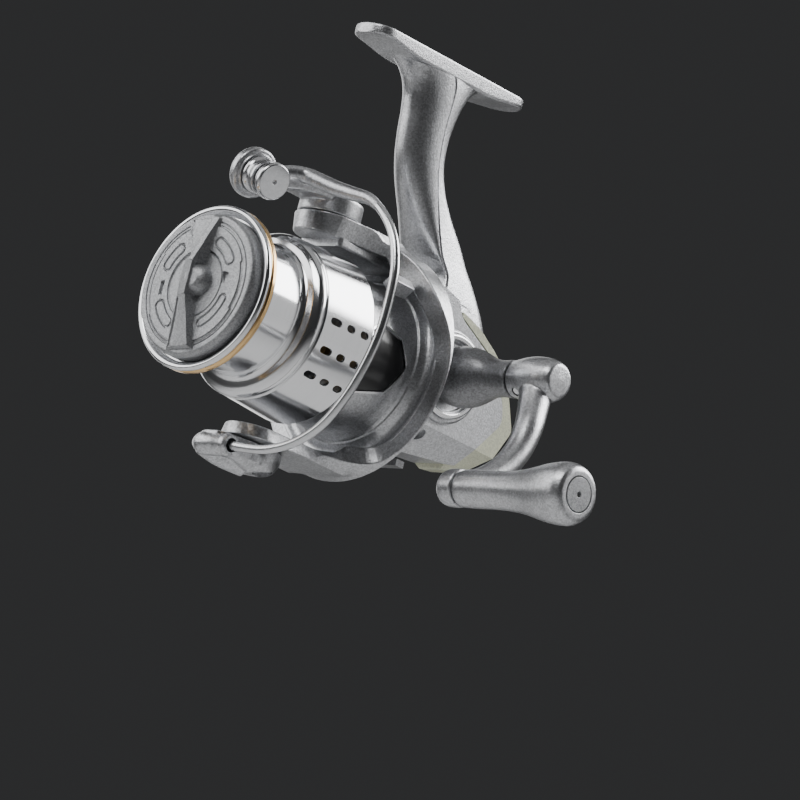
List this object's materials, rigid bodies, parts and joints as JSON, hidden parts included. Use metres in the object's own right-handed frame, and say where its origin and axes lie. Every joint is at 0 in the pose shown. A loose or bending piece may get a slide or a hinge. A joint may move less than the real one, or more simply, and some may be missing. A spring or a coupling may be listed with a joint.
{
  "type": "spinning reel",
  "caption": "Fixed-spool fishing reel with a folding crank handle, a geared rotor, a swinging bail with line roller and a stem that ends in a rod foot.",
  "frame": {"origin": "centre of the flat top face of the rod foot", "axes": "+Z out of the foot towards the rod, -Y towards the rod tip along the spool axis, +X towards the handle"},
  "size_m": [0.129, 0.1185, 0.1284],
  "materials": {
    "silver_paint": "cast alloy in silver-grey metallic paint with a fine sparkle",
    "dark_paint": "alloy in dark grey satin paint",
    "polished_alloy": "machined and polished alloy",
    "steel": "bright steel",
    "gold_ring": "gold anodised",
    "satin_grey": "blasted grey metal with a fine grain",
    "black_label": "gloss black plate",
    "champagne": "thin cover in pale champagne metallic paint",
    "brass": "machined brass",
    "zinc_alloy": "cast zinc alloy",
    "felt": "oiled felt"
  },
  "bodies": {
    "housing": {"body_housing": "silver_paint", "side_cover": "silver_paint", "rear_cover": "champagne", "cover_screw_1": "steel", "cover_screw_2": "steel", "cover_screw_3": "steel", "boss_ring": "polished_alloy", "drive_bearing_right": "steel", "drive_bearing_left": "steel", "pinion_bearing": "steel", "anti_reverse_clutch": "steel", "pinion_bush": "brass", "guide_rod": "steel"},
    "drive": {"drive_gear": "zinc_alloy", "drive_shaft": "zinc_alloy", "handle_screw_cap": "dark_paint", "bell_cover": "dark_paint", "handle_shaft": "steel", "fold_pin": "steel"},
    "crank": {"crank_arm": "silver_paint", "knob_pin": "steel"},
    "knob": {"knob_grip": "silver_paint", "knob_bearing_inner": "steel", "knob_bearing_outer": "steel", "knob_cap": "satin_grey"},
    "oscillation_wheel": {"oscillation_gear": "zinc_alloy"},
    "rotor_unit": {"rotor": "silver_paint", "rotor_nut": "brass", "pinion_gear": "brass", "rotor_plate": "black_label", "upper_pivot_screw": "steel", "lower_pivot_screw": "steel", "spring_rod": "steel", "bail_spring": "steel", "trip_lever": "zinc_alloy", "arm_cover": "dark_paint"},
    "bail": {"bail_arm": "silver_paint", "bail_wire": "polished_alloy", "lower_bail_lever": "silver_paint", "roller_pin": "polished_alloy", "roller_cup": "silver_paint"},
    "roller": {"line_roller": "polished_alloy", "roller_bearing": "gold_ring"},
    "shaft": {"main_shaft": "steel", "oscillation_slider": "zinc_alloy", "slider_screw": "steel", "drag_spring": "steel", "drag_washer_metal_1": "steel", "drag_washer_metal_2": "steel"},
    "spool_unit": {"spool": "polished_alloy", "lip_ring": "gold_ring", "spool_bush": "brass", "drag_washer_felt_1": "felt", "drag_washer_felt_2": "felt", "washer_clip": "steel", "click_wheel": "brass", "line_clip": "steel"},
    "drag_dial": {"drag_knob": "satin_grey", "drag_nut": "brass"},
    "reverse_lever": {"anti_reverse_lever": "dark_paint"}
  },
  "joints": [
    {"name": "handle_crank", "type": "hinge", "parent": "housing", "child": "drive", "pos_m": [0, 0.0192, -0.0811], "axis": [1, 0, 0], "continuous": true},
    {"name": "handle_fold", "type": "hinge", "parent": "drive", "child": "crank", "pos_m": [0.0413, 0.0192, -0.0811], "axis": [0, 0.599, 0.8007], "range_deg": [0, 90]},
    {"name": "knob_spin", "type": "hinge", "parent": "crank", "child": "knob", "pos_m": [0.057, -0.00997, -0.1201], "axis": [1, 0, 0], "continuous": true},
    {"name": "oscillation_gear_spin", "type": "hinge", "parent": "housing", "child": "oscillation_wheel", "pos_m": [0, 0.0217, -0.09155], "axis": [1, 0, 0], "continuous": true},
    {"name": "rotor_spin", "type": "hinge", "parent": "housing", "child": "rotor_unit", "pos_m": [0, -0.0628, -0.0854], "axis": [0, 1, 0], "continuous": true},
    {"name": "bail_swing", "type": "hinge", "parent": "rotor_unit", "child": "bail", "pos_m": [0, -0.0258, -0.0854], "axis": [0, 0, 1], "range_deg": [-115, 0]},
    {"name": "line_roller_spin", "type": "hinge", "parent": "bail", "child": "roller", "pos_m": [-0.0006, -0.0512, -0.051], "axis": [0.9495, -0.1199, -0.2899], "continuous": true},
    {"name": "spool_oscillation", "type": "slide", "parent": "housing", "child": "shaft", "axis": [0, 1, 0], "range_m": [0, 0.012]},
    {"name": "spool_turn", "type": "hinge", "parent": "shaft", "child": "spool_unit", "pos_m": [0, -0.0628, -0.0854], "axis": [0, 1, 0], "continuous": true},
    {"name": "drag_knob_turn", "type": "hinge", "parent": "shaft", "child": "drag_dial", "pos_m": [0, -0.0628, -0.0854], "axis": [0, 1, 0], "range_deg": [-360, 360]},
    {"name": "anti_reverse_switch", "type": "hinge", "parent": "housing", "child": "reverse_lever", "pos_m": [0, 0.0152, -0.1054], "axis": [0, 0, 1], "range_deg": [0, 40]}
  ],
  "couplings": [
    {"joint": "rotor_spin", "follows": "handle_crank", "ratio": -5.2},
    {"joint": "oscillation_gear_spin", "follows": "handle_crank", "ratio": -0.53571}
  ]
}
